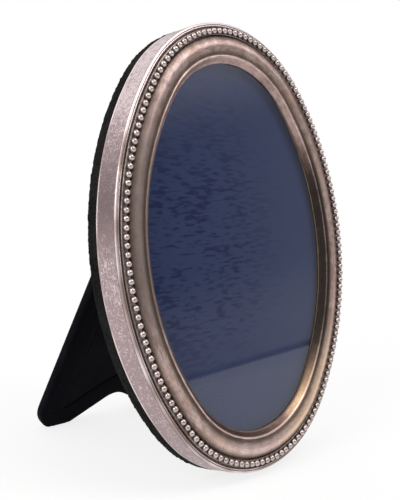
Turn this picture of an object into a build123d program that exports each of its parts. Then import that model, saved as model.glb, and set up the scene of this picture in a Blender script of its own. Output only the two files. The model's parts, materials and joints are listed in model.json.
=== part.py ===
from build123d import *
import os
from math import atan2, cos, degrees, hypot, radians, sin, sqrt, tan

# An oval table frame: a pressed silver front with a beaded border over a wooden core,
# a glass and a card in a rebate, a velvet back with a removable door, and a velvet strut
# hinged to the door.
# It is drawn lying on its back: x to the right, y to the top of the oval, z to the front,
# with z = 0 at the rear edge of the silver. At the end it is stood up, leaning on its strut.
# Sizes are in millimetres and angles in degrees.

# Outline of the oval
half_height = 75.0
half_width = 56.5
end_fullness = 1.095  # radius of the end arcs, over the end radius of an ellipse

# Silver moulding, from the outer wall inwards
silver_sheet = 0.5
rim_height = 8.8
rim_width = 1.4
corner_radius = 0.7
rim_groove_inset = 0.72
rim_groove_width = 0.45
rim_groove_depth = 0.35
channel_width = 3.4
channel_depth = 1.0
band_width = 5.6
band_foot_rise = 0.7  # foot of the rounded band above the rim
band_end_rise = 0.6  # inner end of the rounded band above the rim
band_bulge = 0.8
edge_groove_width = 0.5
edge_groove_depth = 0.45
edge_width = 0.7
edge_rise = 0.9  # sight edge above the rim
slope_width = 1.4
slope_depth = 1.7
lip_width = 0.45

# Beaded wire in the channel
bead_count = 152
bead_radius = 1.06
bead_centre_rise = 1.05  # centre of a bead above the rim
bead_wire_width = 2.2
bead_wire_rise = 0.3  # top of the wire above the rim

# Core, glass, card and pad
core_clearance = 0.1
rebate_width = 2.3  # how far the glass goes under the sight edge
pane_clearance = 0.2
glass_thickness = 2.0
card_thickness = 0.5

# Back and door
board_thickness = 3.5
velvet_thickness = 0.8
velvet_round = 0.75
door_clearance = 0.3
pin_count = 8
pin_inset = 3.0
pin_radius = 0.6
pin_head_radius = 1.2
pin_head_height = 0.6
pin_depth = 4.0  # how far a pin goes into the core
drive_clearance = 0.03  # round pins, rivets and screws in wood

# Turn buttons on the back
button_low_angle = -11.0  # places up the side arcs, seen from their centres
button_high_angle = 26.0
button_inset = 5.2
button_reach = 9.0  # from the screw to the tip
button_half_width = 2.6
button_thickness = 0.8
button_gap = 0.1
screw_radius = 1.0
screw_head_radius = 2.1
screw_head_height = 0.9
screw_slot_width = 0.5
screw_slot_depth = 0.4
screw_depth = 4.5  # how far a screw goes into the core
screw_running_clearance = 0.06

# Hinge of the strut
hinge_height = 40.0  # pin above the middle of the oval
hinge_half_width = 15.0
leaf_length = 13.0
leaf_thickness = 0.8
knuckle_radius = 1.5
middle_knuckle_half = 5.0
knuckle_gap = 0.2
hinge_pin_radius = 0.75
pin_fit_clearance = 0.01
pin_running_clearance = 0.05
hinge_pin_head_radius = 1.2
hinge_pin_head_height = 0.6
back_gap = 0.2  # between the folded strut's leaf and the back
stop_length = 5.5
stop_gap = 0.1
rivet_spacing = 10.0
rivet_radius = 0.8
rivet_head_radius = 1.5
rivet_head_height = 0.7
rivet_offset = 9.0  # from the pin to the row of rivets
rivet_cover = 0.6  # board left in front of a door rivet

# Strut, and how the frame stands
lean = 12.0
stand_depth = 67.95  # on the floor, from the lowest point of the back to the front edge of the feet
strut_top_gap = 2.4  # from the pin to the top of the strut
strut_top_half = 23.3
strut_foot_half = 35.5
foot_inner_half = 21.4
arch_rise = 10.1
strut_top_round = 5.0
strut_corner_round = 9.2
foot_round = 11.5
arch_round = 9.5
strut_board_thickness = 2.4
turn_in_width = 9.5
lining_thickness = 0.6
lining_clearance = 0.1

# Oval outline: two side arcs and two end arcs, tangent where they meet
end_radius = end_fullness * half_width**2 / half_height
end_centre = half_height - end_radius
side_radius = (half_width**2 + end_centre**2 - end_radius**2) / (2 * (half_width - end_radius))
side_centre = side_radius - half_width
join_angle = degrees(atan2(end_centre, side_centre))
right_side = ((-side_centre, 0.0), side_radius, -join_angle, 2 * join_angle)
top_end = ((0.0, end_centre), end_radius, join_angle, 180 - 2 * join_angle)
left_side = ((side_centre, 0.0), side_radius, 180 - join_angle, 2 * join_angle)
bottom_end = ((0.0, -end_centre), end_radius, 180 + join_angle, 180 - 2 * join_angle)
ARCS = (right_side, top_end, left_side, bottom_end)

# Places across the moulding, as insets from the outline and heights above the silver's rear edge
channel_inset = rim_width + channel_width
band_inset = channel_inset + band_width
edge_inset = band_inset + edge_groove_width
slope_inset = edge_inset + edge_width
lip_inset = slope_inset + slope_width
sight_inset = lip_inset + lip_width
rebate_inset = sight_inset - rebate_width
pane_inset = rebate_inset + pane_clearance
channel_floor = rim_height - channel_depth
band_foot = rim_height + band_foot_rise
band_end = rim_height + band_end_rise
edge_height = rim_height + edge_rise
lip_height = edge_height - slope_depth
bead_inset = rim_width + channel_width / 2
bead_height = rim_height + bead_centre_rise
bead_wire_top = rim_height + bead_wire_rise

# Heights of the layers behind the sight edge, and of the back
glass_front = lip_height - silver_sheet
card_front = glass_front - glass_thickness
pad_front = card_front - card_thickness
board_rear = -board_thickness
back_rear = board_rear - velvet_thickness


def oval_face(inset):
    """Face inside the outline at one inset."""
    edges = [CenterArc(centre, radius - inset, start, size) for centre, radius, start, size in ARCS]
    return Face(Wire(edges))


def oval_plate(inset, low, high):
    """Flat plate inside one inset, between two heights."""
    return Pos(0, 0, low) * extrude(oval_face(inset), high - low)


def oval_ring(profile):
    """Ring with one section all round; the section is drawn with x = -inset and y = height."""
    lengths = []
    for centre, radius, start, size in ARCS:
        outward = Vector(cos(radians(start)), sin(radians(start)), 0)
        middle = Vector(*centre, 0)
        plane = Plane(middle + outward * radius, x_dir=outward, z_dir=outward.cross(Vector(0, 0, 1)))
        lengths.append(revolve(plane * profile, Axis(middle, (0, 0, 1)), size))
    return lengths[0] + lengths[1:]


def oval_places(inset, count, first_step=0.0):
    """Evenly spaced places along the outline at one inset, counted from its right-hand end."""
    spans = [radians(size) * (radius - inset) for _, radius, _, size in ARCS]
    step = sum(spans) / count
    places = []
    for number in range(count):
        along = (spans[0] / 2 + (first_step + number) * step) % sum(spans)
        for (centre, radius, start, size), span in zip(ARCS, spans):
            if along <= span:
                angle = radians(start + size * along / span)
                break
            along -= span
        reach = radius - inset
        places.append((centre[0] + reach * cos(angle), centre[1] + reach * sin(angle)))
    return places


def section(points):
    """Section with straight sides, given as insets and heights."""
    return make_face(Polyline([(-inset, height) for inset, height in points], close=True))


def rod(radius, low, high, x=0.0, y=0.0):
    """Round bar along z."""
    return Pos(x, y, low) * extrude(Circle(radius), high - low)


def domed_head(radius, height, x, y, seat):
    """Low domed head that rises from its seat towards the rear."""
    dome = (radius**2 + height**2) / (2 * height)
    ball = Pos(x, y, seat - height + dome) * Sphere(dome)
    return ball & rod(radius, seat - height, seat, x, y)


def cross_rod(radius, low_x, high_x):
    """Round bar along the hinge axis."""
    plane = Plane((low_x, hinge_height, hinge_axis), x_dir=(0, 1, 0), z_dir=(1, 0, 0))
    return extrude(plane * Circle(radius), high_x - low_x)


def slab(x_span, y_span, z_span):
    """Rectangular block between pairs of limits."""
    block = Box(x_span[1] - x_span[0], y_span[1] - y_span[0], z_span[1] - z_span[0])
    return Pos(sum(x_span) / 2, sum(y_span) / 2, sum(z_span) / 2) * block


# Silver front
def underside(sheet):
    """Insets and heights under the moulding, from the sight edge back to the foot of the wall."""
    slope_shift = sheet * hypot(slope_width, slope_depth) / slope_depth
    lip_under = lip_height - sheet
    top_under = edge_height - edge_groove_depth - sheet
    run = (top_under - lip_under) * slope_width / slope_depth
    return [
        (lip_inset - slope_shift, lip_under),
        (lip_inset - slope_shift - run, top_under),
        (channel_inset + sheet, band_foot - sheet),
        (channel_inset, channel_floor - sheet),
        (sheet, channel_floor - sheet),
        (sheet, 0.0),
    ]


def silver_section():
    turn = corner_radius * (1 - cos(radians(45)))
    bulge = Vector(-(channel_inset + band_inset) / 2, (band_foot + band_end) / 2)
    bulge += Vector(-(band_end - band_foot), band_width).normalized() * band_bulge
    wall_top = rim_height - corner_radius
    wall = Line((0, 0), (0, wall_top))
    corner = ThreePointArc((0, wall_top), (-turn, rim_height - turn), (-corner_radius, rim_height))
    groove_end = rim_groove_inset + rim_groove_width
    rim = Polyline(
        (-corner_radius, rim_height),
        (-rim_groove_inset, rim_height),
        (-(rim_groove_inset + groove_end) / 2, rim_height - rim_groove_depth),
        (-groove_end, rim_height),
        (-rim_width, rim_height),
        (-rim_width, channel_floor),
        (-channel_inset, channel_floor),
        (-channel_inset, band_foot),
    )
    band = ThreePointArc((-channel_inset, band_foot), (bulge.X, bulge.Y), (-band_inset, band_end))
    below = [(-inset, height) for inset, height in underside(silver_sheet)]
    inner = Polyline(
        (-band_inset, band_end),
        (-band_inset, edge_height - edge_groove_depth),
        (-edge_inset, edge_height - edge_groove_depth),
        (-edge_inset, edge_height),
        (-slope_inset, edge_height),
        (-lip_inset, lip_height),
        (-sight_inset, lip_height),
        (-sight_inset, lip_height - silver_sheet),
        *below,
        (0, 0),
    )
    return make_face(Curve() + [wall, corner, rim, band, inner])


silver_front = oval_ring(silver_section())

# Beaded wire: a flat wire on the floor of the channel, with balls along it
wire_outer = bead_inset - bead_wire_width / 2
wire_inner = bead_inset + bead_wire_width / 2
bead_wire = oval_plate(wire_outer, channel_floor, bead_wire_top)
bead_wire -= oval_plate(wire_inner, channel_floor, bead_wire_top)
beads = [Pos(x, y, bead_height) * Sphere(bead_radius) for x, y in oval_places(bead_inset, bead_count)]
bead_border = bead_wire + beads

# Wooden core under the silver, with a ledge in front of the glass
core_top = underside(silver_sheet + core_clearance)
ledge_inset = core_top[0][0] - core_clearance * slope_width / slope_depth
core_ring = oval_ring(section([(rebate_inset, 0.0), (rebate_inset, glass_front),
                               (ledge_inset, glass_front), *core_top[1:]]))

# Glass, card and pad in the rebate
glass_pane = oval_plate(pane_inset, card_front, glass_front)
display_card = oval_plate(pane_inset, pad_front, card_front)
backing_pad = oval_plate(pane_inset, 0.0, pad_front)

# Back ring and its velvet, which goes round the rim up to the silver
back_board = oval_plate(velvet_thickness, board_rear, 0.0) - oval_plate(rebate_inset, board_rear, 0.0)
velvet_corner = velvet_round * (1 - cos(radians(45)))
velvet_rim = Polyline((-velvet_round, back_rear), (-rebate_inset, back_rear), (-rebate_inset, board_rear),
                      (-velvet_thickness, board_rear), (-velvet_thickness, 0), (0, 0),
                      (0, back_rear + velvet_round))
velvet_turn = ThreePointArc((0, back_rear + velvet_round), (-velvet_corner, back_rear + velvet_corner),
                            (-velvet_round, back_rear))
back_velvet = oval_ring(make_face(Curve() + [velvet_rim, velvet_turn]))

# Door and its velvet
door_inset = rebate_inset + door_clearance
door_board = oval_plate(door_inset, board_rear, 0.0)
door_velvet = oval_plate(door_inset, back_rear, board_rear)

# Panel pins, driven through the ring into the core under the velvet
back_pins = []
for x, y in oval_places(pin_inset, pin_count, first_step=0.5):
    shank = rod(pin_radius, board_rear, pin_depth, x, y)
    back_pins.append(shank + rod(pin_head_radius, board_rear, board_rear + pin_head_height, x, y))
    hole = rod(pin_radius + drive_clearance, board_rear, pin_depth, x, y)
    sink = rod(pin_head_radius + drive_clearance, board_rear, board_rear + pin_head_height, x, y)
    back_board -= hole + sink
    core_ring -= hole

# Turn buttons and their screws
button_front = back_rear - button_gap
button_rear = button_front - button_thickness
turn_buttons = {}
turn_screws = []
button_places = [
    ("right_low", right_side, button_low_angle),
    ("right_high", right_side, button_high_angle),
    ("left_high", left_side, 180 - button_high_angle),
    ("left_low", left_side, 180 - button_low_angle),
]
button_points = {}
for side, (centre, radius, _, _), angle in button_places:
    x = centre[0] + (radius - button_inset) * cos(radians(angle))
    y = centre[1] + (radius - button_inset) * sin(radians(angle))
    button_points[side] = (x, y)
    bar = Pos(-(button_reach - button_half_width) / 2, 0) * SlotCenterToCenter(
        button_reach - button_half_width, 2 * button_half_width)
    eye = Circle(screw_radius + screw_running_clearance)
    plate = extrude(bar - eye, button_thickness)
    turn_buttons[side] = Pos(x, y, button_rear) * Rot(0, 0, angle) * plate
    head_seat = button_rear - button_gap
    screw = rod(screw_radius, head_seat, screw_depth, x, y)
    head = domed_head(screw_head_radius, screw_head_height, x, y, head_seat)
    slot = Pos(x, y, head_seat - screw_head_height) * Rot(0, 0, angle) * Box(
        2 * screw_head_radius, screw_slot_width, 2 * screw_slot_depth)
    turn_screws.append(screw + head - slot)
    hole = rod(screw_radius + drive_clearance, back_rear, screw_depth, x, y)
    back_velvet -= hole
    back_board -= hole
    core_ring -= hole

# Hinge: the door leaf above the pin, the strut leaf below it, drawn with the strut folded
hinge_axis = back_rear - back_gap - knuckle_radius
door_leaf_span = (back_rear - leaf_thickness, back_rear)
strut_face = hinge_axis + knuckle_radius - leaf_thickness
strut_leaf_span = (strut_face, strut_face + leaf_thickness)
knuckle_reach = knuckle_radius + knuckle_gap
outer_knuckle = middle_knuckle_half + knuckle_gap
whole_width = (-hinge_half_width, hinge_half_width)
ABOVE = (hinge_height + knuckle_reach, hinge_height + leaf_length)
BELOW = (hinge_height - leaf_length, hinge_height - knuckle_reach)
hinge_door_leaf = slab(whole_width, ABOVE, door_leaf_span)
for low_x, high_x in ((-hinge_half_width, -outer_knuckle), (outer_knuckle, hinge_half_width)):
    hinge_door_leaf += slab((low_x, high_x), (hinge_height, ABOVE[1]), door_leaf_span)
    hinge_door_leaf += cross_rod(knuckle_radius, low_x, high_x)
hinge_door_leaf -= cross_rod(hinge_pin_radius + pin_fit_clearance, *whole_width)
middle_width = (-middle_knuckle_half, middle_knuckle_half)
strut_leaf = slab(whole_width, BELOW, strut_leaf_span)
strut_leaf += slab(middle_width, (BELOW[0], hinge_height), strut_leaf_span)
strut_leaf += cross_rod(knuckle_radius, *middle_width)
hinge_pin = cross_rod(hinge_pin_radius, -hinge_half_width - hinge_pin_head_height,
                      hinge_half_width + hinge_pin_head_height)
for low_x in (-hinge_half_width - hinge_pin_head_height, hinge_half_width):
    hinge_pin += cross_rod(hinge_pin_head_radius, low_x, low_x + hinge_pin_head_height)

# Rivets of the door leaf, through the velvet into the door
rivet_places = (-rivet_spacing, 0.0, rivet_spacing)
hinge_door_rivets = []
for x in rivet_places:
    y = hinge_height + rivet_offset
    seat = door_leaf_span[0]
    shank = rod(rivet_radius, seat, -rivet_cover, x, y)
    hinge_door_rivets.append(shank + domed_head(rivet_head_radius, rivet_head_height, x, y, seat))
    hole = rod(rivet_radius + drive_clearance, seat, -rivet_cover, x, y)
    hinge_door_leaf -= hole
    door_velvet -= hole
    door_board -= hole


def leaned(y, z):
    """Depth to the rear and height of a point of the oval, once it leans back."""
    turn = radians(lean)
    return y * sin(turn) - z * cos(turn), y * cos(turn) + z * sin(turn)


# How the strut stands: its feet are level with the lowest point of the back
contact_depth, contact_centre = leaned(velvet_round - half_height, back_rear + velvet_round)
floor_rise = contact_centre - velvet_round
pin_depth_back, pin_rise = leaned(hinge_height, hinge_axis)
foot_run = contact_depth + stand_depth - pin_depth_back
foot_drop = pin_rise - floor_rise
face_offset = strut_face - hinge_axis
strut_length = sqrt(foot_run**2 + foot_drop**2 - face_offset**2)
strut_tilt = degrees(atan2(foot_run, foot_drop) + atan2(face_offset, strut_length))
open_angle = lean + strut_tilt

# Strut, drawn folded: velvet round a board, turned in on the face that meets the back
strut_thickness = strut_board_thickness + 2 * velvet_thickness
strut_rear = strut_face - strut_thickness
foot_y = hinge_height - strut_length - strut_thickness * tan(radians(strut_tilt))
arch_y = hinge_height - strut_length + arch_rise
top_y = hinge_height - strut_top_gap


def strut_outline():
    half = [(strut_top_half, top_y, strut_top_round), (strut_foot_half, foot_y, strut_corner_round),
            (foot_inner_half, foot_y, foot_round)]
    corners = half + [(0.0, arch_y, arch_round)] + [(-x, y, r) for x, y, r in reversed(half)]
    points = [(x, y) for x, y, _ in corners]
    radii = [r for _, _, r in corners]
    return make_face(FilletPolyline(*points, radius=radii, close=True))


outline = strut_outline()
strut_block = Pos(0, 0, strut_rear) * extrude(outline, strut_thickness)
board_outline = offset(outline, -velvet_thickness)
strut_board = Pos(0, 0, strut_rear + velvet_thickness) * extrude(board_outline, strut_board_thickness)
lining_seat = strut_face - velvet_thickness
panel = offset(outline, -turn_in_width)
panel_recess = Pos(0, 0, lining_seat) * extrude(panel, velvet_thickness)
lining_outline = offset(outline, -turn_in_width - lining_clearance)
strut_lining = Pos(0, 0, lining_seat) * extrude(lining_outline, lining_thickness)

# Rivets of the strut leaf, headed on the strut's rear face and flush in the leaf
strut_rivets = []
for x in rivet_places:
    y = hinge_height - rivet_offset
    shank = rod(rivet_radius, strut_rear, strut_leaf_span[1], x, y)
    strut_rivets.append(shank + domed_head(rivet_head_radius, rivet_head_height, x, y, strut_rear))
    hole = rod(rivet_radius + drive_clearance, strut_rear, strut_leaf_span[1], x, y)
    strut_leaf -= hole
    strut_block -= hole
    strut_board -= hole
    strut_lining -= hole

# The strut is opened to its stop: a tongue of its leaf that lies on the door leaf
HINGE_LINE = Axis((0, hinge_height, hinge_axis), (1, 0, 0))


def opened(shape):
    return shape.rotate(HINGE_LINE, open_angle)


stop_rear = door_leaf_span[0] - stop_gap - leaf_thickness
stop_tongue = slab(middle_width, (hinge_height, hinge_height + stop_length),
                   (stop_rear, stop_rear + leaf_thickness))
hinge_strut_leaf = opened(strut_leaf) + stop_tongue
hinge_strut_leaf -= cross_rod(hinge_pin_radius + pin_running_clearance, *middle_width)

# Standing up: the back leans by the lean angle, with its lowest point on the floor
standing = Location((0, 0, -floor_rise), (90 - lean, 0, 0))


def above_floor(shape, height=0.0):
    return split(shape, Plane.XY.offset(height), keep=Keep.TOP)


strut_board = above_floor(standing * opened(strut_board), velvet_thickness)
strut_velvet = above_floor(standing * opened(strut_block - panel_recess)) - strut_board

nodes = {
    "silver_front": silver_front,
    "bead_border": bead_border,
    "core_ring": core_ring,
    "glass_pane": glass_pane,
    "display_card": display_card,
    "backing_pad": backing_pad,
    "back_board": back_board,
    "back_velvet": back_velvet,
    "back_pins": Compound(children=back_pins),
    "door_board": door_board,
    "door_velvet": door_velvet,
    "turn_screws": Compound(children=turn_screws),
    "hinge_door_leaf": hinge_door_leaf,
    "hinge_pin": hinge_pin,
    "hinge_door_rivets": Compound(children=hinge_door_rivets),
    "hinge_strut_leaf": hinge_strut_leaf,
    "hinge_strut_rivets": opened(Compound(children=strut_rivets)),
    "strut_lining": opened(strut_lining),
}
for side, plate in turn_buttons.items():
    nodes["turn_button_" + side] = plate
placed = {name: standing * shape for name, shape in nodes.items()}
placed["strut_board"] = strut_board
placed["strut_velvet"] = strut_velvet

# The origin is on the floor, at the middle of the part's box
boxes = [shape.bounding_box() for shape in placed.values()]
middle_y = (min(box.min.Y for box in boxes) + max(box.max.Y for box in boxes)) / 2
os.makedirs("parts", exist_ok=True)
for name, shape in placed.items():
    export_step(Pos(0, -middle_y, 0) * shape, f"parts/{name}.step")

# Places that the joints, mounts and openings refer to
to_world = Pos(0, -middle_y, 0) * standing


def world(x, y, z):
    point = (to_world * Location((x, y, z))).position
    return tuple(round(value, 3) for value in point)


print("side radius", round(side_radius, 2), "end radius", round(end_radius, 2))
print("open angle", round(open_angle, 3), "strut tilt", round(strut_tilt, 3))
print("hinge pin", world(0, hinge_height, hinge_axis))
for side, (x, y) in button_points.items():
    print("turn button", side, world(x, y, button_rear))
print("sight centre on the glass", world(0, 0, glass_front))
foot = placed["strut_velvet"].faces().filter_by(GeomType.PLANE).sort_by(Axis.Z)[0].center()
print("foot", round(foot.X, 3), round(foot.Y - middle_y, 3), round(foot.Z, 3))
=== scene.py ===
# %% [markdown]
# # An oval silver picture frame
# The object is a small table frame. A pressed silver front with a row of beads covers a wooden
# ring, a flat glass lies in front of a dark blue card, and a back covered in black velvet carries
# a hinged strut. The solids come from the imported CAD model. Here the silver, the beads and the
# velvet are made again with finer shapes, and everything gets its finish.

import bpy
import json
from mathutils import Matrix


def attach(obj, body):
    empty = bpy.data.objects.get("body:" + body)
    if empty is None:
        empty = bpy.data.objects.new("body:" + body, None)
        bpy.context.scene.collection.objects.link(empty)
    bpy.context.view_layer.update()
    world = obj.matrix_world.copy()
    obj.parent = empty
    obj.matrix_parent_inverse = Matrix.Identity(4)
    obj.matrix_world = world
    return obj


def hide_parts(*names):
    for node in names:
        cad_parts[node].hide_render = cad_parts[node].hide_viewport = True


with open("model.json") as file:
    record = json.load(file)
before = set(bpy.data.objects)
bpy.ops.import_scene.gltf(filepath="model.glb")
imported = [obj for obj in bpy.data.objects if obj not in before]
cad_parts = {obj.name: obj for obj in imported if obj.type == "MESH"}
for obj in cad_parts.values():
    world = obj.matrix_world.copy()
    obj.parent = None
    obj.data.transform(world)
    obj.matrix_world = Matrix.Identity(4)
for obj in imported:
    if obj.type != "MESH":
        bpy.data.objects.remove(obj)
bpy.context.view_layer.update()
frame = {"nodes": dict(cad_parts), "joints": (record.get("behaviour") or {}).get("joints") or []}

# %% [markdown]
# ## Where the oval is
# The frame leans back, so its mouldings don't lie along the world's axes. Their places could be
# typed in, but then the looks would stay behind if the lean changed. The axle of a turn button
# points straight through the back, so it gives the lean, and the silver's own points give the
# middle of the oval and its two half-sizes.

# %% Axes of the leaning oval
import json
from math import atan2, ceil, cos, hypot, pi, radians, sin, tan

import bmesh
import bpy
import numpy as np
from mathutils import Matrix, Vector, noise

MM = 0.001
joints = {joint["name"]: joint for joint in frame["joints"]}
rightward = Vector((1, 0, 0))


def axes_facing(front):
    """Right, up and front directions of a flat thing that faces the given way, as matrix rows."""
    return np.array([rightward, front.cross(rightward), front])


def points_of(node):
    """Corner points of a CAD node."""
    return np.array([corner.co for corner in frame["nodes"][node].data.vertices])


oval_axes = axes_facing(-Vector(joints["turn_right_low"]["axis"]).normalized())
silver_corners = points_of("silver_front") @ oval_axes.T
oval_low, oval_high = silver_corners.min(0), silver_corners.max(0)
half_width, half_height = (oval_high - oval_low)[:2] / 2
oval_middle = np.append((oval_low + oval_high)[:2] / 2, oval_low[2]) @ oval_axes
print("half-sizes of the oval in mm:", (1000 * half_width).round(2), (1000 * half_height).round(2))

# %% [markdown]
# ## Walking round the oval
# A maker draws such an oval with a compass: two wide arcs for the sides and two tight ones for the
# ends, which meet without a kink. A true ellipse would look nearly the same, but its mouldings
# would not stay parallel. On arcs, a moulding at any distance inside the edge is again made of
# arcs, so one list of points with their outward directions carries every ring of the object.

# %% Points and outward directions along the outline
END_FULLNESS = 1.095

end_radius = END_FULLNESS * half_width**2 / half_height
end_centre = half_height - end_radius
side_radius = (half_width**2 + end_centre**2 - end_radius**2) / (2 * (half_width - end_radius))
side_centre = side_radius - half_width
join_angle = atan2(end_centre, side_centre)
OVAL_ARCS = (
    ((-side_centre, 0), side_radius, -join_angle, 2 * join_angle),
    ((0, end_centre), end_radius, join_angle, pi - 2 * join_angle),
    ((side_centre, 0), side_radius, pi - join_angle, 2 * join_angle),
    ((0, -end_centre), end_radius, pi + join_angle, pi - 2 * join_angle),
)


def oval_walk(count, inset=0.0):
    """Evenly spaced points at one inset, their outward directions, and the way gone to each."""
    spans = [sweep * (radius - inset) for _, radius, _, sweep in OVAL_ARCS]
    gone = np.arange(count) * sum(spans) / count
    points, outward = [], []
    for step in (gone + spans[0] / 2) % sum(spans):
        for (centre, radius, start, sweep), span in zip(OVAL_ARCS, spans):
            if step <= span:
                break
            step -= span
        angle = start + sweep * step / span
        direction = np.array((cos(angle), sin(angle)))
        points.append(np.array(centre) + (radius - inset) * direction)
        outward.append(direction)
    return np.array(points), np.array(outward), gone


walk_points, walk_outward, walk_gone = oval_walk(720)
print("way round the outline in mm:", round(1000 * (walk_gone[1] * len(walk_gone)), 1))

# %% [markdown]
# ## From lists of points to pieces
# Blender can sweep a profile along a curve, but a curve gives no control over what each point of
# the section is: wall, hollow or bright edge. Filling a mesh with numbers does, because every
# point can carry marks, which the finishes read later. Two small helpers are enough: one makes the
# faces of a ring, and one makes the piece and ties it to the CAD body and nodes it stands for.

# %% Helpers for rings and pieces
def ring_faces(stations, across):
    """Four-sided faces of a closed ring with a closed section."""
    along = np.arange(stations)[:, None]
    beside = np.arange(across)[None, :]
    next_along, next_beside = (along + 1) % stations, (beside + 1) % across
    corners = ((along, beside), (next_along, beside), (next_along, next_beside), (along, next_beside))
    return np.stack([row * across + column for row, column in corners], -1).reshape(-1, 4)


def capped_faces(rings, sides):
    """Faces between rings laid on each other, closed by one face at each end."""
    faces = [face for face in ring_faces(rings, sides) if max(face) - min(face) < 2 * sides]
    faces.append(range((rings - 1) * sides, rings * sides))
    faces.append(range(sides)[::-1])
    return faces


def in_world(points, axes, origin):
    """Points given along a piece's own axes, in the world."""
    return points @ axes + origin


def new_piece(name, points, faces, body, nodes, slot, sharp=50, **marks):
    """A mesh piece that rides on a body and stands for CAD nodes; marks are one number a point."""
    mesh = bpy.data.meshes.new(name)
    mesh.from_pydata(np.asarray(points).tolist(), [], [list(map(int, face)) for face in faces])
    for mark, values in marks.items():
        layer = mesh.attributes.new(mark, "FLOAT", "POINT")
        layer.data.foreach_set("value", np.asarray(values, dtype=np.float32).ravel())
    mesh.shade_smooth()
    mesh.set_sharp_from_angle(angle=radians(sharp))
    piece = bpy.data.objects.new(name, mesh)
    bpy.context.scene.collection.objects.link(piece)
    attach(piece, body)
    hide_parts(*nodes)
    print(name, "has", len(mesh.vertices), "points and", len(mesh.polygons), "faces")
    return piece


def swept_points(section, walk):
    """Points of a section, given as insets and heights, carried round a walk of the oval."""
    points, outward, _ = walk
    insets, heights = np.asarray(section, float).T
    flat = points[:, None, :] - outward[:, None, :] * insets[None, :, None]
    tall = np.broadcast_to(heights, flat.shape[:2])
    return np.dstack((flat, tall))


# %% [markdown]
# ## The silver front
# The front is one sheet of silver pressed into a moulding: a straight side wall, a scored rim, a
# hollow channel for the beads, a broad rounded band, a fine raised edge and a slope down to the
# glass. Its section is a list of insets and heights. Each point also says how much tarnish gathers
# there, from 0 on a rubbed edge to 1 in a groove, and whether it belongs to the side wall. The
# small rounds at the corners matter most, because a sharp edge can't catch a line of light.

# %% Section of the silver front
CHANNEL_FLOOR = 7.8


def bow(start, end, rise, steps):
    """Points of a shallow curve between two points, standing out by the rise in its middle."""
    start, end = np.array(start), np.array(end)
    run = end - start
    out = np.array((-run[1], run[0])) / hypot(*run)
    along = np.linspace(0, 1, steps)
    return [tuple(start + run * t + out * rise * 4 * t * (1 - t)) for t in along]


rear_edge = [(0.3, 0.0), (0.1, 0.0), (0.0, 0.07), (-0.05, 0.2), (-0.05, 0.34), (0.0, 0.47), (0.03, 0.55)]
wall = [(0.0, height) for height in np.linspace(0.65, 7.85, 12)]
scored_wall = [(0.0, 8.0), (0.07, 8.07), (0.03, 8.14)]
corner = [(0.66 - 0.64 * cos(turn), 8.16 + 0.64 * sin(turn)) for turn in np.linspace(0, pi / 2, 12)]
scored_rim = [(0.74, 8.76), (0.78, 8.56), (0.84, 8.5)]
roll = [(1.14 - 0.28 * cos(turn), 8.6 + 0.28 * sin(turn)) for turn in np.linspace(0.1, pi - 0.2, 9)]
channel = [(1.44, 8.4), (1.45, 8.15), (1.52, 7.88), (1.7, CHANNEL_FLOOR), (3.1, CHANNEL_FLOOR)]
channel += [(4.5, CHANNEL_FLOOR), (4.7, 7.88), (4.78, 8.2), (4.8, 9.3)]
band = bow((4.86, 9.5), (10.36, 9.38), 0.78, 21)
step_down = [(10.4, 9.34), (10.46, 9.28), (10.6, 9.25), (10.76, 9.26), (10.86, 9.32), (10.9, 9.48)]
bright_edge = [(10.94, 9.62), (11.06, 9.7), (11.4, 9.7), (11.52, 9.65), (11.6, 9.56)]
slope = [(11.6 + 1.4 * t, 9.56 - 1.54 * t) for t in (0.12, 0.3, 0.5, 0.7, 0.9)]
lip = [(13.04, 8.02), (13.34, 8.0), (13.44, 7.93), (13.45, 7.5)]
under = [(12.35, 7.5), (11.32, 8.75), (5.3, 9.0), (4.8, 7.3), (0.5, 7.3), (0.5, 0.0)]
silver_parts = (
    (rear_edge, 0.0, 2, 0), (wall, 0.1, 1, 0), (scored_wall, 0.7, 1, 0), (corner, 0.0, 2, 0),
    (scored_rim, 0.9, 0, 0), (roll, 0.25, 2, 0), (channel, 0.6, 0, 0), (band, 0.15, 0, 0),
    (step_down, 0.8, 0, 0), (bright_edge, 0.0, 0, 0), (slope, 0.2, 0, 1), (lip, 0.1, 0, 1),
    (under, 0.8, 0, 1),
)
silver_section = np.array([point for part, _, _, _ in silver_parts for point in part]) * MM
silver_tarnish, silver_wall, silver_slope = np.array(
    [kind for part, *kind in silver_parts for _ in part], float).T
print("the silver's section has", len(silver_section), "points")

# %% Tarnish and painted shade run out of the grooves onto the band
def spread(inset, middle, reach):
    """One on a place across the moulding, falling to nothing at the reach."""
    return np.clip(1 - np.abs(inset - middle) / reach, 0, 1)


across_mm = silver_section[:, 0] / MM
on_front = silver_section[:, 1] > 8.9 * MM
# Tarnish with painted shade: the band is darkened towards both its edges, where it turns away.
silver_tarnish += on_front * 0.75 * spread(across_mm, 4.8, 2.3) * (across_mm > 4.8)
silver_tarnish += on_front * 0.80 * spread(across_mm, 10.4, 2.7) * (across_mm < 10.4)
silver_tarnish = silver_tarnish.clip(0, 1)
print("tarnish on the crest of the band:", silver_tarnish[on_front & (across_mm > 7)].min().round(2))

# %% Carry the section round the oval
silver_points = swept_points(silver_section, (walk_points, walk_outward, walk_gone))
section_gone = np.append(0, np.cumsum(np.hypot(*np.diff(silver_section, axis=0).T)))
inner_start = section_gone[np.argmax(across_mm >= step_down[0][0])]
stations, across = silver_points.shape[:2]
silver_front = new_piece(
    "silver_front_moulding", in_world(silver_points.reshape(-1, 3), oval_axes, oval_middle),
    ring_faces(stations, across), "frame", ["silver_front"], "silver",
    tarnish=np.tile(silver_tarnish, stations), side_wall=np.tile(silver_wall, stations),
    inner_slope=np.tile(silver_slope, stations),
    along=np.repeat(walk_gone, across), across=np.tile(section_gone, stations))
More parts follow.
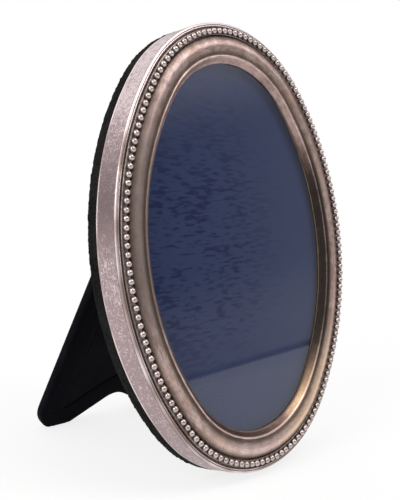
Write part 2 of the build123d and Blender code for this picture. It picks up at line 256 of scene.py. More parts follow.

# %% [markdown]
# ## The row of beads
# The beads are pressed silver drops on a narrow strip. Instances of one sphere would be light, but
# they would all be the same, and the eye sees that at once. Each bead here is a ball of its own,
# with a seeded, slightly different size and seat, and tarnish with painted shade grows to its foot.

# %% Beads on their strip
BEAD_COUNT = 152
BEAD_INSET = 3.1 * MM
BEAD_HEIGHT = 9.85 * MM
BEAD_RADIUS = 1.06 * MM
BEAD_RINGS = 12
BEAD_SIDES = 18
chance = np.random.default_rng(7)


def ball(radius):
    """Points and faces of a ball made of rings, with a fan at each pole."""
    points = [(0, 0, radius)]
    for turn in np.linspace(0, pi, BEAD_RINGS + 1)[1:-1]:
        for side in np.linspace(0, 2 * pi, BEAD_SIDES, endpoint=False):
            points.append((
                radius * sin(turn) * cos(side), radius * sin(turn) * sin(side), radius * cos(turn)))
    points.append((0, 0, -radius))
    last = len(points) - 1
    faces = []
    for side in range(BEAD_SIDES):
        near, far = 1 + side, 1 + (side + 1) % BEAD_SIDES
        faces.append((0, near, far))
        for ring in range(BEAD_RINGS - 2):
            low = ring * BEAD_SIDES
            faces.append((near + low, near + low + BEAD_SIDES, far + low + BEAD_SIDES, far + low))
        faces.append((last, far + last - 1 - BEAD_SIDES, near + last - 1 - BEAD_SIDES))
    return np.array(points), faces


ball_points, ball_faces = ball(1.0)
bead_points, bead_faces, bead_tarnish = [], [], []
bead_places, _, _ = oval_walk(BEAD_COUNT, BEAD_INSET)
for number, place in enumerate(bead_places):
    size = BEAD_RADIUS * (1 - 0.05 * chance.random())
    seat = np.append(place + 0.04 * MM * chance.standard_normal(2).clip(-2, 2), BEAD_HEIGHT)
    first = number * len(ball_points)
    bead_points.append(ball_points * size + seat)
    bead_faces += [tuple(first + corner for corner in face) for face in ball_faces]
    # Tarnish and painted shade: each bead darkens towards its foot.
    bead_tarnish.append((0.75 - ball_points[:, 2]).clip(0, 1))

strip_section = np.array([(2.0, 7.8), (2.0, 9.0), (2.1, 9.1), (4.1, 9.1), (4.2, 9.0), (4.2, 7.8)]) * MM
strip_points = swept_points(strip_section, (walk_points, walk_outward, walk_gone))
first = BEAD_COUNT * len(ball_points)
bead_faces += [tuple(first + face) for face in ring_faces(*strip_points.shape[:2])]
bead_points = np.vstack(bead_points + [strip_points.reshape(-1, 3)])
bead_tarnish = np.concatenate(bead_tarnish + [np.full(len(bead_points) - first, 0.6)])
bead_border = new_piece(
    "beaded_strip", in_world(bead_points, oval_axes, oval_middle), bead_faces,
    "frame", ["bead_border"], "silver_beads", tarnish=bead_tarnish)

# %% [markdown]
# ## The glass
# In the CAD model the glass and the card touch, as they do in a real frame. A ray that meets two
# faces at one place takes either of them, which leaves bars across the card, so the pane is made
# again with a hair of air behind it and with its sharp edges broken.

# %% Pane with broken edges
pane_rings = np.array([(11.5, 5.55), (11.35, 5.7), (11.35, 7.33), (11.5, 7.48)]) * MM
pane_points = swept_points(pane_rings, oval_walk(360)).transpose(1, 0, 2)
glass_pane = new_piece(
    "glass_sheet", in_world(pane_points.reshape(-1, 3), oval_axes, oval_middle),
    capped_faces(*pane_points.shape[:2]), "frame", ["glass_pane"], "glass", sharp=30)

# %% [markdown]
# ## Velvet on the back
# The velvet is glued over the edge of the back and shows as a black rim behind the silver. A clean
# edge would read as plastic, so the points are pushed in and out by two sizes of noise: tufts about
# a millimetre long and a finer fuzz. A hair system would be truer close up, but its strands don't
# survive an export. On the flat rear the pile only sinks, to leave room for the turn buttons.

# %% Pile on a swept velvet ring
BACK_REAR = -4.3
TUFT = 0.9 * MM
FUZZ = 0.45 * MM
RIM_PUSH = 0.22 * MM
RING_SINK = 0.1 * MM
DOOR_SINK = 0.08 * MM


def pile(points, seed):
    """Height of the pile at each point, about -1 to 1."""
    tufts = [noise.noise(Vector(point) / TUFT + Vector((seed, 0, 0))) for point in points]
    fuzz = [noise.noise(Vector(point) / FUZZ + Vector((0, seed, 0))) for point in points]
    return np.array(tufts) + 0.6 * np.array(fuzz)


rim = [(0.0, height) for height in np.linspace(0.0, BACK_REAR + 0.75, 10)]
turn_under = [(0.75 - 0.75 * cos(turn), BACK_REAR + 0.75 - 0.75 * sin(turn))
              for turn in np.linspace(0.3, pi / 2, 5)]
rear = [(inset, BACK_REAR) for inset in np.linspace(1.2, 10.85, 24)]
ring_edge = [(11.07, BACK_REAR + 0.08), (11.15, BACK_REAR + 0.3), (11.15, -3.5), (0.8, -3.5), (0.8, 0.0)]
velvet_section = np.array((rim + turn_under + rear + ring_edge)[::-1]) * MM
velvet_walk = oval_walk(1100)
velvet_points = swept_points(velvet_section, velvet_walk)
velvet_across = velvet_points.shape[1]
velvet_points = velvet_points.reshape(-1, 3)
on_rim = (velvet_section[:, 0] < 0.79 * MM) & (velvet_section[:, 1] < -0.2 * MM)
on_rim = np.tile(on_rim, len(velvet_walk[2]))
on_rear = np.tile((velvet_section[:, 1] < BACK_REAR * MM * 0.99), len(velvet_walk[2])) & ~on_rim
height = pile(velvet_points, 3.0)
push_out = np.repeat(velvet_walk[1], velvet_across, axis=0) * (RIM_PUSH * height * on_rim)[:, None]
velvet_points[:, :2] += push_out
velvet_points[:, 2] += RING_SINK * (1 + height).clip(0, 2) * on_rear
back_velvet = new_piece(
    "back_velvet_ring", in_world(velvet_points, oval_axes, oval_middle),
    ring_faces(len(velvet_walk[2]), velvet_across), "frame", ["back_velvet"], "back_velvet", sharp=80,
    along=np.repeat(velvet_walk[2], velvet_across))

# %% [markdown]
# ## Velvet on the door
# Inside the ring lies the door, an oval board that comes out to change the picture. Its velvet is a
# skin with a softly rounded edge. Rings at growing insets run inwards from the edge, and the last
# ones shrink towards the middle, so the pile has points to move everywhere.

# %% Door velvet
DOOR_INSET = 11.45 * MM
door_walk = oval_walk(560)
edge_rings = [(0.0, -3.5), (0.0, -4.0), (0.1, -4.2), (0.35, -4.3)]
flat_rings = [(inset, BACK_REAR) for inset in np.arange(0.9, 19.5, 0.7)]
door_section = np.array(edge_rings + flat_rings) * MM + np.array((DOOR_INSET, 0))
door_points = swept_points(door_section, door_walk).transpose(1, 0, 2)
shrinking = door_points[-1] * np.linspace(0.98, 0.02, 46)[:, None, None]
shrinking[:, :, 2] = BACK_REAR * MM
door_points = np.concatenate((door_points, shrinking))
rings, sides = door_points.shape[:2]
door_points = door_points.reshape(-1, 3)
door_flat = door_points[len(edge_rings) * sides:]
door_flat[:, 2] += DOOR_SINK * (1 + pile(door_flat, 9.0)).clip(0, 2)
door_velvet = new_piece(
    "door_velvet_skin", in_world(door_points, oval_axes, oval_middle), capped_faces(rings, sides),
    "frame", ["door_velvet"], "back_velvet", sharp=80)

# %% [markdown]
# ## The strut
# The strut is a board wrapped in velvet. It widens downwards to two rounded feet with a low arch
# between them, and on its inner face the velvet is turned in round a panel of thinner cloth. Its
# tilt is read from the lining's own points, because the direction in which a flat panel is
# thinnest is square to it. The outline is a polygon with rounded corners.

# %% Axes and outline of the strut
lining_points = points_of("strut_lining")
lining_square = np.linalg.svd(lining_points - lining_points.mean(0), full_matrices=False)[2][2]
strut_axes = axes_facing(Vector(lining_square * -np.sign(lining_square[1])))
hinge_place = np.array(joints["strut_fold"]["pos_m"])
strut_points = (points_of("strut_velvet") - hinge_place) @ strut_axes.T
strut_face, strut_rear = strut_points[:, 2].max(), strut_points[:, 2].min()
foot_line = strut_points[:, 1].min()
strut_tilt = atan2(-strut_axes[1][1], strut_axes[1][2])
arch_line = foot_line + (strut_face - strut_rear) * tan(strut_tilt) + 10.1 * MM
STEP = 0.7 * MM


def rounded_outline(corners):
    """Evenly stepped points along a polygon whose corners, given as x, y and radius, are rounded."""
    points = []
    for number, (x, y, radius) in enumerate(corners):
        here = np.array((x, y))
        before = np.array(corners[number - 1][:2]) - here
        after = np.array(corners[(number + 1) % len(corners)][:2]) - here
        before, after = before / hypot(*before), after / hypot(*after)
        half = np.arccos(np.clip(before @ after, -1, 1)) / 2
        middle = here + (before + after) / hypot(*(before + after)) * radius / sin(half)
        start = here + before * radius / tan(half) - middle
        sweep = (pi - 2 * half) * np.sign(after[0] * before[1] - after[1] * before[0])
        for turn in np.linspace(0, sweep, max(3, ceil(abs(sweep) * radius / STEP))):
            spin = np.array(((cos(turn), sin(turn)), (-sin(turn), cos(turn))))
            points.append(middle + start @ spin)
    closed = np.array(points + points[:1])
    gone = np.append(0, np.cumsum(np.hypot(*np.diff(closed, axis=0).T)))
    even = np.linspace(0, gone[-1], int(gone[-1] / STEP), endpoint=False)
    return np.column_stack([np.interp(even, gone, closed[:, axis]) for axis in (0, 1)])


strut_half = [(23.3, -2.4, 5.0), (35.5, foot_line / MM, 9.2), (21.4, foot_line / MM, 11.5)]
strut_corners = strut_half + [(0.0, arch_line / MM, 9.5)] + [(-x, y, r) for x, y, r in reversed(strut_half)]
strut_outline = rounded_outline([(x * MM, y * MM, radius * MM) for x, y, radius in strut_corners])[::-1]
print("the strut tilts by", round(strut_tilt * 180 / pi, 2), "degrees and is",
      round(1000 * (strut_face - strut_rear), 2), "mm thick")

# %% Insets of the strut's outline
def inset_outline(outline, inset):
    """The outline moved inwards; points that would cross over join their nearest kept neighbour."""
    ahead, behind = np.roll(outline, -1, axis=0), np.roll(outline, 1, axis=0)
    run = ahead - behind
    inward = np.column_stack((-run[:, 1], run[:, 0])) / np.hypot(*run.T)[:, None]
    moved = outline + inward * inset
    gaps = np.hypot(*(moved[:, None, :] - outline[None, :, :]).transpose(2, 0, 1)).min(1)
    kept = np.flatnonzero(gaps > inset - 0.02 * MM)
    numbers = np.arange(len(outline))
    apart = np.abs(numbers[:, None] - kept[None, :])
    nearest = kept[np.minimum(apart, len(outline) - apart).argmin(1)]
    return moved[nearest]


area = 0.5 * np.sum(strut_outline[:, 0] * np.roll(strut_outline[:, 1], -1)
                    - strut_outline[:, 1] * np.roll(strut_outline[:, 0], -1))
print("area of the strut in square cm:", round(1e4 * area, 1))

# %% Velvet of the strut, turned in over its inner face
TURN_IN = 9.5 * MM
skin_rings = [
    (TURN_IN, strut_face - 0.8 * MM), (TURN_IN, strut_face - 0.15 * MM), (TURN_IN - 0.3 * MM, strut_face),
    (6.0 * MM, strut_face), (3.0 * MM, strut_face), (1.2 * MM, strut_face - 0.02 * MM),
    (0.5 * MM, strut_face - 0.2 * MM), (0.12 * MM, strut_face - 0.6 * MM), (0.0, strut_face - 1.2 * MM),
    (0.0, strut_rear + 1.2 * MM), (0.12 * MM, strut_rear + 0.6 * MM), (0.5 * MM, strut_rear + 0.2 * MM),
    (1.2 * MM, strut_rear + 0.02 * MM), (3.0 * MM, strut_rear), (6.0 * MM, strut_rear),
    (10.0 * MM, strut_rear),
]
skin_points = []
for inset, depth in skin_rings:
    flat = inset_outline(strut_outline, inset) if inset else strut_outline
    skin_points.append(np.column_stack((flat, np.full(len(flat), depth))))
skin_points = np.array(skin_points)
rings, sides = skin_points.shape[:2]
skin_world = in_world(skin_points.reshape(-1, 3), strut_axes, hinge_place)
skin_world[:, 2] = skin_world[:, 2].clip(0)
strut_velvet = new_piece(
    "strut_velvet_skin", skin_world, capped_faces(rings, sides), "strut", ["strut_velvet"],
    "strut_velvet", sharp=80)

# %% Join the points that fell together
def clean(piece, reach=0.01 * MM):
    """Joins points that lie on each other and turns all faces outwards."""
    shape = bmesh.new()
    shape.from_mesh(piece.data)
    bmesh.ops.remove_doubles(shape, verts=shape.verts, dist=reach)
    bmesh.ops.recalc_face_normals(shape, faces=shape.faces)
    shape.to_mesh(piece.data)
    shape.free()
    print(piece.name, "keeps", len(piece.data.vertices), "points")


clean(strut_velvet)
clean(door_velvet)

# %% Lining of the strut
panel_rings = [(9.6, 0.8), (9.6, 0.4), (9.75, 0.25), (10.2, 0.2)]
panel_points = np.array([
    np.column_stack((flat, np.full(len(flat), strut_face - drop * MM)))
    for flat, drop in ((inset_outline(strut_outline, inset * MM), drop) for inset, drop in panel_rings)])
rings, sides = panel_points.shape[:2]
strut_lining = new_piece(
    "strut_lining_panel", in_world(panel_points.reshape(-1, 3), strut_axes, hinge_place),
    capped_faces(rings, sides), "strut", ["strut_lining"], "strut_lining")
clean(strut_lining)

# %% [markdown]
# ## Writing finishes as sums
# A finish is a tree of nodes, and wiring it by hand hides what it works out. The class below wraps
# one socket, so that an ordinary sum such as `1 - mask` adds the Math node it needs. Every other
# node comes from one method, which takes the node's settings first and then what goes into it.

# %% A socket that can stand in a sum
class Shade:
    """One value in the open node tree; sums with it add Math nodes."""

    tree = None

    def __init__(self, socket):
        self.socket = socket

    @classmethod
    def node(cls, kind, settings=None, sockets=None, output=0):
        """Adds a node: its settings first, then the values or links of its sockets."""
        made = cls.tree.nodes.new("ShaderNode" + kind)
        for name, value in (settings or {}).items():
            setattr(made, name, value)
        for name, value in (sockets or {}).items():
            cls.feed(made.inputs[name], value)
        return cls(made.outputs[output])

    @classmethod
    def feed(cls, socket, value):
        """Links a Shade to a socket, or sets a plain value on it."""
        if isinstance(value, Shade):
            cls.tree.links.new(value.socket, socket)
        elif isinstance(value, tuple) and len(value) == 3 and len(socket.default_value) == 4:
            socket.default_value = (*value, 1)
        else:
            socket.default_value = value

    @classmethod
    def maths(cls, operation, first, second):
        return cls.node("Math", {"operation": operation}, {0: first, 1: second})

    def __add__(self, other):
        return Shade.maths("ADD", self, other)

    def __radd__(self, other):
        return Shade.maths("ADD", other, self)

    def __sub__(self, other):
        return Shade.maths("SUBTRACT", self, other)

    def __rsub__(self, other):
        return Shade.maths("SUBTRACT", other, self)

    def __mul__(self, other):
        return Shade.maths("MULTIPLY", self, other)

    def __rmul__(self, other):
        return Shade.maths("MULTIPLY", other, self)

    def __truediv__(self, other):
        return Shade.maths("DIVIDE", self, other)

    def __rtruediv__(self, other):
        return Shade.maths("DIVIDE", other, self)


print("sums and differences of sockets are ready")

# %% Helpers that most finishes share
def open_finish(name):
    """A new material with its tree open for Shade, and its surface shader."""
    material = bpy.data.materials.new(name)
    material.use_nodes = True
    Shade.tree = material.node_tree
    return material, material.node_tree.nodes["Principled BSDF"]


def dress(surface, **sockets):
    """Feeds the surface shader's sockets; Base_Color stands for Base Color, and so on."""
    for name, value in sockets.items():
        Shade.feed(surface.inputs[name.replace("_", " ")], value)


def mark(name):
    """A mark that the mesh carries at its points."""
    return Shade.node("Attribute", {"attribute_name": name}, output="Fac")


def place_on(stretch=(1, 1, 1)):
    """Place on the object in metres, stretched along its axes."""
    place = Shade.node("TexCoord", output="Object")
    return Shade.node("VectorMath", {"operation": "MULTIPLY"}, {0: place, 1: stretch})


def grain(place, size, detail=3.0, roughness=0.55, wander=0.0):
    """Soft noise, about 0 to 1, with blotches of about the given size in metres."""
    return Shade.node("TexNoise", sockets={
        "Vector": place, "Scale": 1 / size, "Detail": detail, "Roughness": roughness,
        "Distortion": wander}, output="Fac")


def step(value, low, high):
    """Rises smoothly from 0 at the low value to 1 at the high one."""
    return Shade.node("MapRange", {"interpolation_type": "SMOOTHSTEP"},
                      {"Value": value, "From Min": low, "From Max": high})


def blend(factor, first, second):
    """First colour where the factor is 0, second where it is 1."""
    return Shade.node("Mix", {"data_type": "RGBA"}, {0: factor, 6: first, 7: second}, output=2)


def bump(height, depth, strength=1.0):
    """Normal of a surface that rises by the depth, in metres, where the height is 1."""
    return Shade.node("Bump", sockets={"Strength": strength, "Distance": depth, "Height": height},
                      output="Normal")


def paint(material, *pieces):
    """Gives one finish to pieces and carried-over CAD nodes."""
    for piece in pieces:
        piece.data.materials.clear()
        piece.data.materials.append(material)
    print(material.name, "on", ", ".join(piece.name for piece in pieces))


# %% [markdown]
# ## Old silver
# Silver that has stood for a century is not a mirror. The side wall is pale with a touch of lilac
# and speckled, and the front is warmer, with brown tarnish in every hollow. One metal finish does
# both: the marks on the mesh say where the wall is and where tarnish and painted shade gather, and
# noise breaks up their borders. First come the noises, from broad clouds down to specks and drawn-out
# scratches.

# %% Marks and noises of the silver
old_silver, surface = open_finish("old_silver")
tarnish = mark("tarnish")
side_wall = mark("side_wall")
rubbed = step(side_wall, 1.0, 2.0)
along, over = mark("along"), mark("across")
place = place_on()
clouds = grain(place, 16 * MM, detail=2)
blotches = grain(place, 3.5 * MM, detail=5, roughness=0.65, wander=0.4)
mottle = grain(place, 1.7 * MM, detail=4, roughness=0.6)
specks = grain(place, 0.6 * MM, detail=3, roughness=0.7)
long_place = Shade.node("CombineXYZ", sockets={"X": along / 14, "Y": over, "Z": 0.0})
streaks = grain(long_place, 0.28 * MM, detail=3)
short_place = Shade.node("CombineXYZ", sockets={"X": along / 5, "Y": over, "Z": 0.0})
scratches = grain(short_place, 0.55 * MM, detail=4, roughness=0.7)
warm = step(grain(place, 7 * MM, detail=3), 0.42, 0.66)
print("the silver's noises take", len(Shade.tree.nodes), "nodes")

# %% [markdown]
# The tone of old silver also changes from place to place. These zones follow the photograph, where
# tarnish and reflection can't be told apart. Light alone would be the better cause, but it left
# the band too pale at the left and the slope too pale at the right, so the finish holds them.

# %% Zones of the silver by place
# Most zones below are painted light: painted shade, painted reflections and a painted warm highlight.
up = Shade.node("SeparateXYZ", sockets={0: place}, output="Z")
to_right = Shade.node("SeparateXYZ", sockets={0: place}, output="X")
# Tarnish and painted shade: more dark marks on the lower wall, fading out upwards.
low_tarnish_and_shade = 0.12 * (1 - step(up, 40 * MM, 115 * MM))
# Painted dark reflection: a band of more dark marks across the middle of the wall.
mid_wall_painted_reflection = 0.10 * (step(up, 70 * MM, 84 * MM) - step(up, 102 * MM, 124 * MM))
# Painted reflection of the white floor: the front is lighter near the bottom.
painted_floor_reflection = 1 - step(up, 6 * MM, 26 * MM)
# Painted warm highlight low on the right, on the front and on the slope.
painted_warm_highlight = step(to_right - up, -6 * MM, 5 * MM)
# Painted shade on the inner slope at the right; it darkens the tarnish colour there.
shaded = step(to_right, 8 * MM, 40 * MM) * (1 - step(up, 95 * MM, 122 * MM)) * (1 - painted_warm_highlight)
inner = step(over, inner_start - 1.5 * MM, inner_start)
# Painted shade on the band at the left.
left_painted_shade = (1 - step(to_right, -46 * MM, -24 * MM)) * step(up, 40 * MM, 70 * MM)
left_painted_shade = left_painted_shade * (1 - step(up, 112 * MM, 134 * MM))
# Worn, dull patches on the rubbed edges, fewer near the top, which leaves a painted highlight there.
wear_and_painted_top_highlight = step(clouds - 0.3 * step(up, 95 * MM, 130 * MM), 0.30, 0.58)
print("with its zones it takes", len(Shade.tree.nodes), "nodes")

# %% Colours of the silver
wall_noise = 0.25 * mottle + 0.2 * blotches + 0.25 * scratches + 0.6 * specks
# Random marks on the wall, with the painted shade and painted reflection of the zones above.
wall_marks_and_shade = step(wall_noise + low_tarnish_and_shade + mid_wall_painted_reflection, 0.61, 0.77) * (1 - 0.7 * rubbed)
wall_colour = blend(wall_marks_and_shade, (0.80, 0.665, 0.67), (0.40, 0.30, 0.31))
wall_colour = blend(rubbed, wall_colour, blend(wear_and_painted_top_highlight, (0.86, 0.75, 0.74), (0.40, 0.31, 0.285)))
front_marks = step(0.6 * streaks + 0.4 * blotches + 0.3 * clouds, 0.55, 0.75)
front_colour = blend(front_marks, (0.72, 0.55, 0.495), (0.36, 0.25, 0.22))
front_colour = blend(0.55 * warm, front_colour, (0.58, 0.385, 0.30))
# Painted shade darkens the band at the left.
front_colour = blend(0.8 * left_painted_shade, front_colour, (0.27, 0.215, 0.19))
# Painted floor reflection lightens the front near the bottom.
front_colour = blend(0.5 * painted_floor_reflection, front_colour, (0.88, 0.70, 0.64))
# Painted warm highlight on the front, low on the right.
front_colour = blend(0.7 * painted_warm_highlight, front_colour, (0.95, 0.70, 0.48))
# The slope is lighter near the top and darker below: painted light.
slope_colour = blend(step(up, 90 * MM, 122 * MM), (0.22, 0.145, 0.125), (0.46, 0.33, 0.305))
slope_colour = blend(0.6 * front_marks, slope_colour, (0.09, 0.06, 0.05))
# Painted warm highlight on the slope, low on the right.
slope_colour = blend(painted_warm_highlight, slope_colour, (0.62, 0.43, 0.24))
metal_colour = blend(side_wall, blend(mark("inner_slope"), front_colour, slope_colour), wall_colour)
dirt_and_shade_noise = 0.35 * (specks - 0.5) + 0.35 * (blotches - 0.5)
# Painted shade on the right of the slope joins the tarnish here.
dirt_and_shade = step(tarnish + 0.7 * shaded * inner + dirt_and_shade_noise, 0.15, 0.95)
dirt_and_shade_colour = blend(shaded * inner, (0.105, 0.072, 0.058), (0.018, 0.012, 0.010))
relief = 0.5 * clouds + 0.08 * blotches + 0.05 * streaks + 0.05 * scratches + 0.06 * specks
dress(surface, Base_Color=blend(dirt_and_shade, metal_colour, dirt_and_shade_colour), Metallic=1.0 - 0.4 * dirt_and_shade,
      Roughness=0.33 + 0.14 * rubbed + 0.08 * wall_marks_and_shade + 0.15 * dirt_and_shade, Normal=bump(relief, 0.16 * MM))
paint(old_silver, silver_front)

# %% Silver of the beads
bead_silver, surface = open_finish("bead_silver")
tarnish = mark("tarnish")
place = place_on()
specks = grain(place, 0.5 * MM, detail=2)
clouds = grain(place, 9 * MM, detail=2)
dirt_and_shade = step(tarnish + 0.45 * (specks - 0.5) + 0.25 * (clouds - 0.5), 0.25, 0.85)
rubbed = blend(clouds, (0.66, 0.57, 0.545), (0.46, 0.38, 0.36))
dress(surface, Base_Color=blend(dirt_and_shade, rubbed, (0.10, 0.068, 0.055)), Metallic=1.0 - 0.4 * dirt_and_shade,
      Roughness=0.27 + 0.08 * specks + 0.25 * dirt_and_shade, Normal=bump(specks, 0.05 * MM))
paint(bead_silver, bead_border)

# %% [markdown]
# ## Velvet and lining
# Velvet is black where its pile points at the eye and greyer where it lies flat or turns away. The
# shader's sheen makes that light along edges, and must be the same all over the surface, so the
# brushed patches come from the base colour and the bump. The lining is a closer, flatter cloth.

# %% Velvets and lining cloth
def velvet(name, deep, brushed, tint):
    """Black pile with brushed patches."""
    material, surface = open_finish(name)
    tufts = grain(place_on(), 1.1 * MM, detail=3)
    fuzz = grain(place_on((1, 1, 0.4)), 0.3 * MM, detail=2)
    strokes = grain(place_on((1, 1, 0.45)), 11 * MM, detail=3, wander=0.6)
    nap = step(0.6 * strokes + 0.3 * tufts + 0.2 * fuzz, 0.42, 0.72)
    dress(surface, Base_Color=blend(nap, deep, brushed), Roughness=0.85 + 0.1 * nap,
          Normal=bump(0.7 * tufts + 0.5 * fuzz, 0.35 * MM),
          Specular_IOR_Level=0.05, Sheen_Weight=0.06, Sheen_Roughness=0.4, Sheen_Tint=tint)
    return material


paint(velvet("black_velvet", (0.0030, 0.0030, 0.0031), (0.0145, 0.0143, 0.0143), (0.5, 0.5, 0.5)),
      back_velvet, door_velvet)
paint(velvet("strut_black_velvet", (0.0018, 0.0017, 0.0030), (0.0056, 0.0052, 0.0085), (0.45, 0.45, 0.6)),
      strut_velvet)

lining_cloth, surface = open_finish("lining_cloth")
rows = Shade.node("TexWave", {"wave_type": "BANDS", "bands_direction": "X"},
                  {"Vector": place_on(), "Scale": 0.31 / (0.8 * MM), "Distortion": 0.6}, output="Fac")
lines = Shade.node("TexWave", {"wave_type": "BANDS", "bands_direction": "Z"},
                   {"Vector": place_on(), "Scale": 0.31 / (0.8 * MM), "Distortion": 0.6}, output="Fac")
weave = rows * lines
worn = grain(place_on(), 12 * MM)
rubbed_cloth = step(worn + 0.4 * weave, 0.35, 0.95)
dress(surface, Base_Color=blend(rubbed_cloth, (0.0032, 0.0030, 0.0048), (0.0090, 0.0086, 0.0125)),
      Roughness=0.8 + 0.1 * worn, Normal=bump(weave, 0.12 * MM), Specular_IOR_Level=0.06)
paint(lining_cloth, strut_lining)

# %% [markdown]
# ## Card and glass
# The card behind the glass is a deep blue with a watered grain: short dark dashes that drift
# sideways like ripples. Stretched noise gives the dashes, and a second, larger noise bends them and
# gathers them into patches. The glass is clear, so it only mixes a mirror over what lies behind it,
# by as much as glass reflects at each angle. A refracting glass would shut out most of the light.

# %% Watered blue card
blue_card, surface = open_finish("watered_blue_card")
drift = grain(place_on((1, 1, 0.5)), 14 * MM, detail=2)
lift = Shade.node("CombineXYZ", sockets={"X": 0.0, "Y": 0.0, "Z": 0.9 * MM * drift})
bent = Shade.node("VectorMath", {"operation": "ADD"}, {0: place_on(), 1: lift})
ripple_place = Shade.node("VectorMath", {"operation": "MULTIPLY"}, {0: bent, 1: (0.22, 1.0, 1.0)})
ripples = grain(ripple_place, 1.0 * MM, detail=1)
patches = grain(place_on((0.7, 1, 1)), 17 * MM, detail=2)
threads = grain(place_on((0.1, 1, 1)), 0.22 * MM, detail=1)
to_right = Shade.node("SeparateXYZ", sockets={0: place_on()}, output="X")
up = Shade.node("SeparateXYZ", sockets={0: place_on()}, output="Z")
# Painted light: the dashes are left out towards the right and near the top and bottom, standing in for the
# light that washes them out there.
unwashed_by_light = (1 - 0.9 * step(to_right, -10 * MM, 30 * MM)) * step(up, 28 * MM, 58 * MM)
unwashed_by_light = unwashed_by_light * (1 - 0.6 * step(up, 90 * MM, 116 * MM))
dashes = unwashed_by_light * step(ripples + 0.4 * (patches - 0.5), 0.45, 0.68)
card_blue = blend(dashes, (0.0245, 0.0370, 0.103), (0.0045, 0.0107, 0.061))
dress(surface, Base_Color=blend(0.2 * threads, card_blue, (0.027, 0.040, 0.108)),
      Roughness=0.75 + 0.15 * dashes, Normal=bump(threads, 0.01 * MM), Specular_IOR_Level=0.1)
paint(blue_card, frame["nodes"]["display_card"])

# %% Clear glass
clear_glass, surface = open_finish("clear_glass")
gloss = Shade.node("Fresnel", sockets={"IOR": 1.5}) * (1 - Shade.node("NewGeometry", output="Backfacing"))
smears = grain(place_on(), 18 * MM, detail=4)
mirror = Shade.node("BsdfGlossy", sockets={"Color": (1, 1, 1), "Roughness": 0.015})
through = Shade.node("BsdfTransparent", sockets={"Color": (0.97, 0.98, 0.975)})
pane = Shade.node("MixShader", sockets={0: gloss * (1.15 + 0.1 * smears), 1: through, 2: mirror})
Shade.tree.links.new(pane.socket, Shade.tree.nodes["Material Output"].inputs["Surface"])
Shade.tree.nodes.remove(surface)
paint(clear_glass, glass_pane)

# %% [markdown]
# ## Brass, steel, wood and pad
# The fittings on the back are thin brass, brown where fingers don't reach. The ring, boards and
# pad stay under the silver and velvet, but they come to light when the part is taken apart, so they
# get a grain as well.

# %% Brass and steel fittings
def worn_metal(name, bright, dull, size, roughness):
    """Metal with dull clouds and fine rubbing marks."""
    material, surface = open_finish(name)
    clouds = grain(place_on(), size, detail=5, roughness=0.62, wander=0.5)
    rubs = grain(place_on((0.12, 1, 1)), 0.16 * MM, detail=2)
    dull_share = step(clouds + 0.25 * (rubs - 0.5), 0.42, 0.72)
    dress(surface, Base_Color=blend(dull_share, bright, dull), Metallic=1.0,
          Roughness=roughness + 0.2 * dull_share + 0.08 * rubs, Normal=bump(0.4 * rubs + clouds, 0.03 * MM))
    return material


nodes = frame["nodes"]
brass_names = [name for name in nodes if name.startswith(("turn_", "hinge_")) and name != "hinge_pin"]
paint(worn_metal("worn_brass", (0.63, 0.45, 0.19), (0.27, 0.17, 0.065), 4 * MM, 0.26),
      *[nodes[name] for name in brass_names])
paint(worn_metal("pin_steel", (0.52, 0.51, 0.50), (0.22, 0.19, 0.17), 1.5 * MM, 0.33),
      nodes["back_pins"], nodes["hinge_pin"])

# %% Wood and pad
def wood(name, pale, dark, stretch):
    """Straight-grained wood with growth lines along one axis."""
    material, surface = open_finish(name)
    sway = grain(place_on(stretch), 9 * MM, detail=4, wander=0.8)
    fibres = grain(place_on(tuple(3 * part for part in stretch)), 0.9 * MM, detail=2)
    rings = step(sway + 0.3 * fibres, 0.4, 0.85)
    dress(surface, Base_Color=blend(rings, pale, dark), Roughness=0.6 + 0.15 * fibres,
          Normal=bump(fibres, 0.08 * MM))
    return material


paint(wood("core_lime_wood", (0.46, 0.33, 0.20), (0.30, 0.19, 0.105), (1, 1, 0.12)), nodes["core_ring"])
paint(wood("back_ply_wood", (0.40, 0.27, 0.155), (0.25, 0.15, 0.08), (0.12, 1, 1)),
      nodes["back_board"], nodes["door_board"], nodes["strut_board"])
pad_board, surface = open_finish("grey_pad_board")
pulp = grain(place_on(), 0.8 * MM, detail=4)
flecks = step(grain(place_on(), 0.35 * MM, detail=1), 0.62, 0.7)
dress(surface, Base_Color=blend(flecks, (0.37, 0.34, 0.29), (0.20, 0.18, 0.155)), Roughness=0.85 + 0.1 * pulp,
      Normal=bump(pulp, 0.08 * MM))
paint(pad_board, nodes["backing_pad"])

# %% [markdown]
# ## The camera
# The photograph was taken from close by, to the left and a little above the middle, so the near
# side of the oval is larger than the far one. A camera can be placed by trial, but here its place,
# aim, tilt and lens come from fitting the oval's outline. The lens shift is what is left of the
# photograph's framing, since its middle isn't quite where the camera pointed.

# %% Camera
CAMERA_PLACE = Vector(oval_middle) + Vector((-0.20887, -0.18413, 0.03685))
CAMERA_AIM = Vector(oval_middle) + Vector((-0.00290, 0.00100, -0.00014))
CAMERA_TILT = radians(3.92)

lens = bpy.data.cameras.new("camera")
lens.lens = 58.99
lens.sensor_width = 36
lens.shift_x = -0.0369
lens.shift_y = -0.0037
lens.clip_start = 0.01
camera = bpy.data.objects.new("camera", lens)
bpy.context.scene.collection.objects.link(camera)
toward = (CAMERA_AIM - CAMERA_PLACE).to_track_quat("-Z", "Y").to_matrix().to_4x4()
camera.matrix_world = Matrix.Translation(CAMERA_PLACE) @ toward @ Matrix.Rotation(CAMERA_TILT, 4, "Z")
bpy.context.scene.camera = camera
print("camera to aim in mm:", round(1000 * (CAMERA_AIM - CAMERA_PLACE).length, 1))

